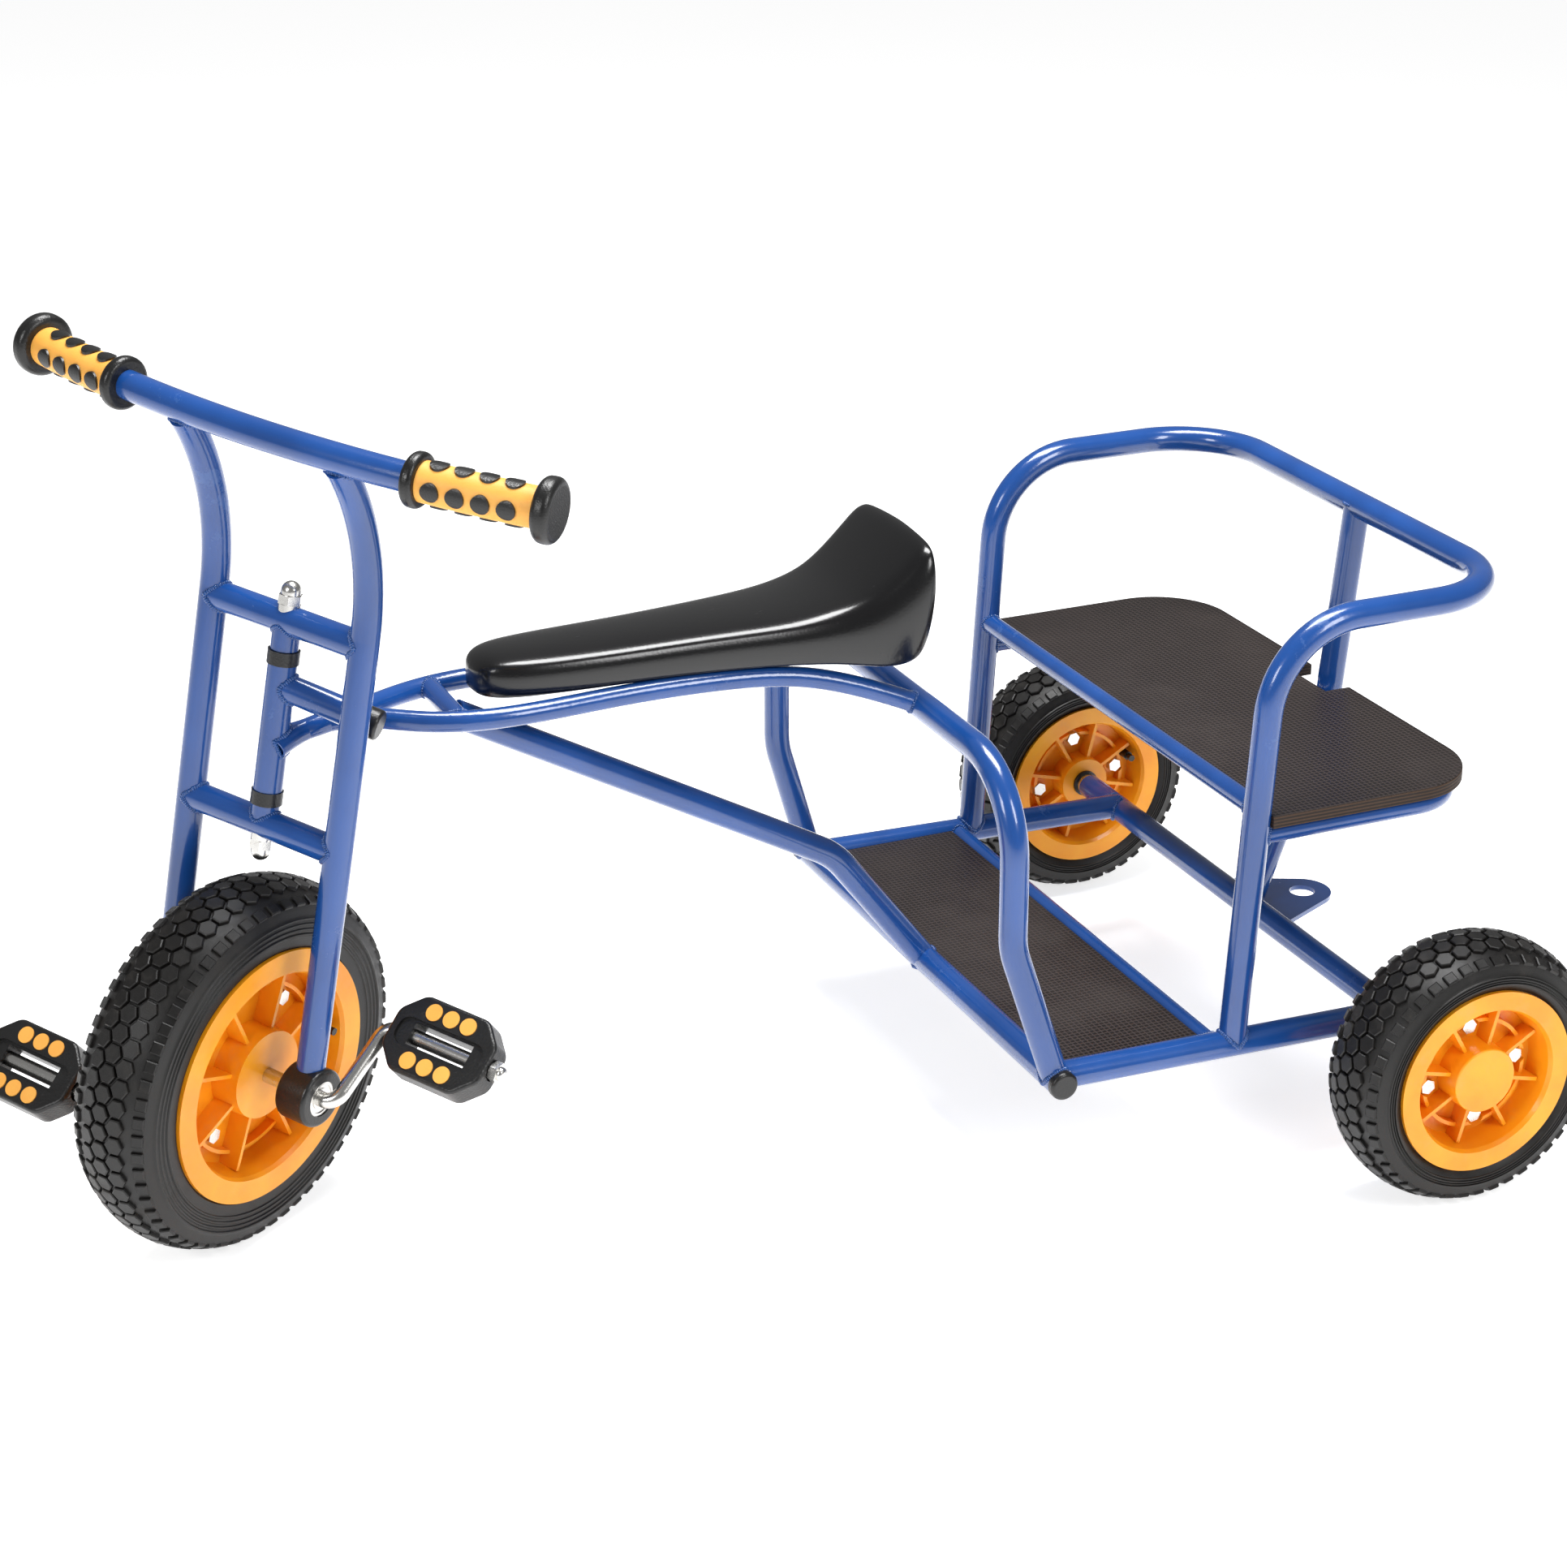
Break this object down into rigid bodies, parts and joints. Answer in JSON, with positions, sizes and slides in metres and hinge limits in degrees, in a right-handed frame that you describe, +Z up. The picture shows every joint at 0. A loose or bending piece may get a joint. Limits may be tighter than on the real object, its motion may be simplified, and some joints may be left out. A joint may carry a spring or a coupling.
{
  "type": "children's taxi tricycle",
  "caption": "Children's taxi tricycle: blue bent-tube frame, orange rims, a pedalled and steered front wheel, black saddle for the driver and a plywood bench with foot board for passengers.",
  "frame": {"origin": "On the ground plane, at the middle of the width and of the overall length (bottom centre of the bounding box).", "axes": "+Z up; +Y to the rear along the overall length, with the front wheel at the -Y end; +X to the rider's left. The rear axle is parallel to X. The front wheel rests turned to the left, against its steering stop."},
  "size_m": [0.717, 1.1746, 0.6924],
  "materials": {
    "blue_paint": "gloss powder coat",
    "black_plastic": "satin",
    "saddle_plastic": "moulded gloss",
    "rim_orange": "moulded satin gloss",
    "grip_orange": "soft moulded",
    "tyre": "matt rubber",
    "steel": "zinc plated",
    "bench_ply": "anti-slip film-faced plywood"
  },
  "bodies": {
    "frame": {"front_crossbar": "blue_paint", "rear_axle_beam": "blue_paint", "side_rails": "blue_paint", "crossbar_end_caps": "black_plastic", "platform_rear_bar": "blue_paint", "bench_loop": "blue_paint", "seat_front_bar": "blue_paint", "seat_frame": "blue_paint", "seat_board": "bench_ply", "foot_board": "bench_ply", "foot_board_lugs": "blue_paint", "rear_hoop": "blue_paint", "head_tube": "blue_paint", "head_bushes": "black_plastic", "steering_stop": "blue_paint", "stop_bumper": "black_plastic", "saddle_rails": "blue_paint", "rail_tie": "blue_paint", "down_tube": "blue_paint", "hitch_plate": "blue_paint", "back_post": "blue_paint", "saddle": "saddle_plastic", "rear_stub_axles": "steel", "rear_axle_spacers": "steel", "rear_axle_nuts": "steel"},
    "steering": {"handlebar": "blue_paint", "fork_legs": "blue_paint", "fork_cross_tubes": "blue_paint", "head_sleeves": "blue_paint", "steering_bolt_set": "steel", "axle_bearings": "steel", "axle_housings": "black_plastic", "grip_sleeves": "grip_orange", "grip_ends": "black_plastic", "grip_nubs": "black_plastic"},
    "front_wheel": {"front_tyre": "tyre", "front_rim_left": "rim_orange", "front_rim_right": "rim_orange", "front_rim_bolts": "steel", "front_valve": "black_plastic", "crank_axle": "steel", "pedal_nuts": "steel"},
    "pedal_left": {"pedal_left": "black_plastic", "pedal_inserts_left": "grip_orange"},
    "pedal_right": {"pedal_right": "black_plastic", "pedal_inserts_right": "grip_orange"},
    "rear_wheel_left": {"rear_tyre_left": "tyre", "rear_rim_outer_left": "rim_orange", "rear_rim_inner_left": "rim_orange", "rear_rim_bolts_left": "steel", "rear_valve_left": "black_plastic", "rear_bushes_left": "black_plastic", "hub_cap_left": "rim_orange"},
    "rear_wheel_right": {"rear_tyre_right": "tyre", "rear_rim_outer_right": "rim_orange", "rear_rim_inner_right": "rim_orange", "rear_rim_bolts_right": "steel", "rear_valve_right": "black_plastic", "rear_bushes_right": "black_plastic", "hub_cap_right": "rim_orange"}
  },
  "joints": [
    {"name": "steering_turn", "type": "hinge", "parent": "frame", "child": "steering", "pos_m": [0, -0.36442, 0.41323], "axis": [0, 0.1788, 0.9839], "range_deg": [-78, 0]},
    {"name": "front_wheel_spin", "type": "hinge", "parent": "steering", "child": "front_wheel", "pos_m": [0, -0.4127, 0.14757], "axis": [0.832, 0.5459, -0.0992], "continuous": true},
    {"name": "pedal_left_spin", "type": "hinge", "parent": "front_wheel", "child": "pedal_left", "pos_m": [0.10282, -0.27915, 0.1773], "axis": [0.832, 0.5459, -0.0992], "continuous": true},
    {"name": "pedal_right_spin", "type": "hinge", "parent": "front_wheel", "child": "pedal_right", "pos_m": [-0.10282, -0.54625, 0.11783], "axis": [0.832, 0.5459, -0.0992], "continuous": true},
    {"name": "rear_wheel_left_spin", "type": "hinge", "parent": "frame", "child": "rear_wheel_left", "pos_m": [0.3225, 0.4773, 0.11], "axis": [1, 0, 0], "continuous": true},
    {"name": "rear_wheel_right_spin", "type": "hinge", "parent": "frame", "child": "rear_wheel_right", "pos_m": [-0.3225, 0.4773, 0.11], "axis": [1, 0, 0], "continuous": true}
  ]
}
